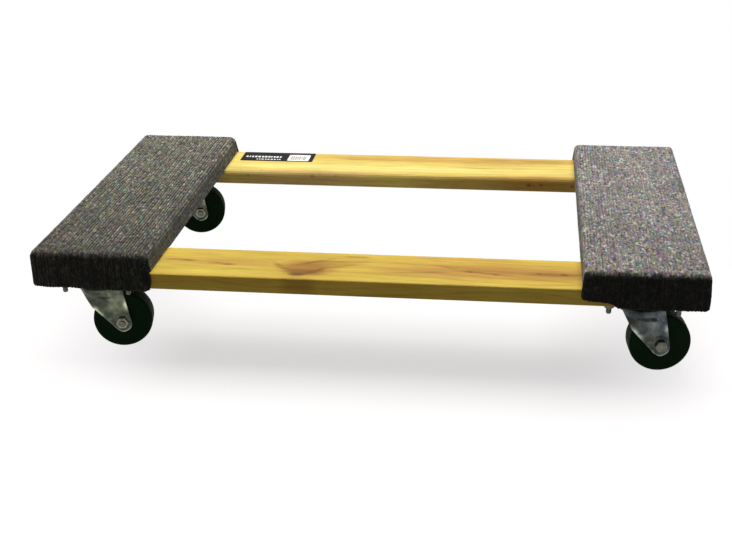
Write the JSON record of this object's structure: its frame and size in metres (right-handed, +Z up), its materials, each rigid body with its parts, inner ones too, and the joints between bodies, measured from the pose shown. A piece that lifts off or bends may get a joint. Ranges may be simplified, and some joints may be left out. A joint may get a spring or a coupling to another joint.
{
  "type": "furniture dolly",
  "caption": "Low wooden dolly: two rails under two carpet-covered cross boards, open in the middle, on swivel plate casters with solid wheels.",
  "frame": {"origin": "on the floor, under the middle of the dolly (bottom centre of its bounding box)", "axes": "+X along the rails to the right, +Y to the rear long side, +Z up; the front long side faces -Y"},
  "size_m": [0.762, 0.457, 0.1339],
  "materials": {
    "rail_wood": "clear-finished softwood, golden yellow, brown grain",
    "board_wood": "plain sawn softwood",
    "carpet": "ribbed loop-pile carpet, salt-and-pepper grey",
    "sticker": "printed label, satin",
    "zinc_plate": "zinc-plated pressed steel",
    "zinc_fastener": "zinc-plated fastener",
    "bearing_steel": "polished bearing steel",
    "sleeve_steel": "plain steel sleeve",
    "rubber": "hard rubber, near-black green"
  },
  "bodies": {
    "frame": {"rail_front": "rail_wood", "rail_rear": "rail_wood", "board_left": "board_wood", "board_right": "board_wood", "carpet_left": "carpet", "carpet_right": "carpet", "label": "sticker", "caster_plate_front_left": "zinc_plate", "kingpin_front_left": "zinc_fastener", "thrust_washer_front_left": "zinc_fastener", "plate_bolt_front_left_1": "zinc_fastener", "plate_bolt_front_left_2": "zinc_fastener", "plate_bolt_front_left_3": "zinc_fastener", "plate_bolt_front_left_4": "zinc_fastener", "caster_plate_front_right": "zinc_plate", "kingpin_front_right": "zinc_fastener", "thrust_washer_front_right": "zinc_fastener", "plate_bolt_front_right_1": "zinc_fastener", "plate_bolt_front_right_2": "zinc_fastener", "plate_bolt_front_right_3": "zinc_fastener", "plate_bolt_front_right_4": "zinc_fastener", "caster_plate_rear_left": "zinc_plate", "kingpin_rear_left": "zinc_fastener", "thrust_washer_rear_left": "zinc_fastener", "plate_bolt_rear_left_1": "zinc_fastener", "plate_bolt_rear_left_2": "zinc_fastener", "plate_bolt_rear_left_3": "zinc_fastener", "plate_bolt_rear_left_4": "zinc_fastener", "caster_plate_rear_right": "zinc_plate", "kingpin_rear_right": "zinc_fastener", "thrust_washer_rear_right": "zinc_fastener", "plate_bolt_rear_right_1": "zinc_fastener", "plate_bolt_rear_right_2": "zinc_fastener", "plate_bolt_rear_right_3": "zinc_fastener", "plate_bolt_rear_right_4": "zinc_fastener"},
    "ball_ring_front_left": {"ball_ring_front_left": "bearing_steel"},
    "fork_front_left": {"fork_front_left": "zinc_plate", "axle_bushing_front_left": "sleeve_steel", "axle_bolt_front_left": "zinc_fastener", "axle_nut_front_left": "zinc_fastener"},
    "wheel_front_left": {"wheel_front_left": "rubber"},
    "ball_ring_front_right": {"ball_ring_front_right": "bearing_steel"},
    "fork_front_right": {"fork_front_right": "zinc_plate", "axle_bushing_front_right": "sleeve_steel", "axle_bolt_front_right": "zinc_fastener", "axle_nut_front_right": "zinc_fastener"},
    "wheel_front_right": {"wheel_front_right": "rubber"},
    "ball_ring_rear_left": {"ball_ring_rear_left": "bearing_steel"},
    "fork_rear_left": {"fork_rear_left": "zinc_plate", "axle_bushing_rear_left": "sleeve_steel", "axle_bolt_rear_left": "zinc_fastener", "axle_nut_rear_left": "zinc_fastener"},
    "wheel_rear_left": {"wheel_rear_left": "rubber"},
    "ball_ring_rear_right": {"ball_ring_rear_right": "bearing_steel"},
    "fork_rear_right": {"fork_rear_right": "zinc_plate", "axle_bushing_rear_right": "sleeve_steel", "axle_bolt_rear_right": "zinc_fastener", "axle_nut_rear_right": "zinc_fastener"},
    "wheel_rear_right": {"wheel_rear_right": "rubber"}
  },
  "joints": [
    {"name": "swivel_front_left", "type": "hinge", "parent": "frame", "child": "fork_front_left", "pos_m": [-0.3135, -0.184, 0.0836], "axis": [0, 0, 1], "continuous": true},
    {"name": "ball_orbit_front_left", "type": "hinge", "parent": "frame", "child": "ball_ring_front_left", "pos_m": [-0.3135, -0.184, 0.0836], "axis": [0, 0, 1], "continuous": true},
    {"name": "wheel_spin_front_left", "type": "hinge", "parent": "fork_front_left", "child": "wheel_front_left", "pos_m": [-0.29296, -0.17963, 0.0349], "axis": [-0.2079, 0.9781, 0], "continuous": true},
    {"name": "swivel_front_right", "type": "hinge", "parent": "frame", "child": "fork_front_right", "pos_m": [0.3135, -0.184, 0.0836], "axis": [0, 0, 1], "continuous": true},
    {"name": "ball_orbit_front_right", "type": "hinge", "parent": "frame", "child": "ball_ring_front_right", "pos_m": [0.3135, -0.184, 0.0836], "axis": [0, 0, 1], "continuous": true},
    {"name": "wheel_spin_front_right", "type": "hinge", "parent": "fork_front_right", "child": "wheel_front_right", "pos_m": [0.33438, -0.1818, 0.0349], "axis": [-0.1045, 0.9945, 0], "continuous": true},
    {"name": "swivel_rear_left", "type": "hinge", "parent": "frame", "child": "fork_rear_left", "pos_m": [-0.3135, 0.184, 0.0836], "axis": [0, 0, 1], "continuous": true},
    {"name": "ball_orbit_rear_left", "type": "hinge", "parent": "frame", "child": "ball_ring_rear_left", "pos_m": [-0.3135, 0.184, 0.0836], "axis": [0, 0, 1], "continuous": true},
    {"name": "wheel_spin_rear_left", "type": "hinge", "parent": "fork_rear_left", "child": "wheel_rear_left", "pos_m": [-0.29296, 0.18837, 0.0349], "axis": [-0.2079, 0.9781, 0], "continuous": true},
    {"name": "swivel_rear_right", "type": "hinge", "parent": "frame", "child": "fork_rear_right", "pos_m": [0.3135, 0.184, 0.0836], "axis": [0, 0, 1], "continuous": true},
    {"name": "ball_orbit_rear_right", "type": "hinge", "parent": "frame", "child": "ball_ring_rear_right", "pos_m": [0.3135, 0.184, 0.0836], "axis": [0, 0, 1], "continuous": true},
    {"name": "wheel_spin_rear_right", "type": "hinge", "parent": "fork_rear_right", "child": "wheel_rear_right", "pos_m": [0.33424, 0.18729, 0.0349], "axis": [-0.1564, 0.9877, 0], "continuous": true}
  ],
  "couplings": [
    {"joint": "ball_orbit_front_left", "follows": "swivel_front_left", "ratio": 0.5},
    {"joint": "ball_orbit_front_right", "follows": "swivel_front_right", "ratio": 0.5},
    {"joint": "ball_orbit_rear_left", "follows": "swivel_rear_left", "ratio": 0.5},
    {"joint": "ball_orbit_rear_right", "follows": "swivel_rear_right", "ratio": 0.5}
  ]
}
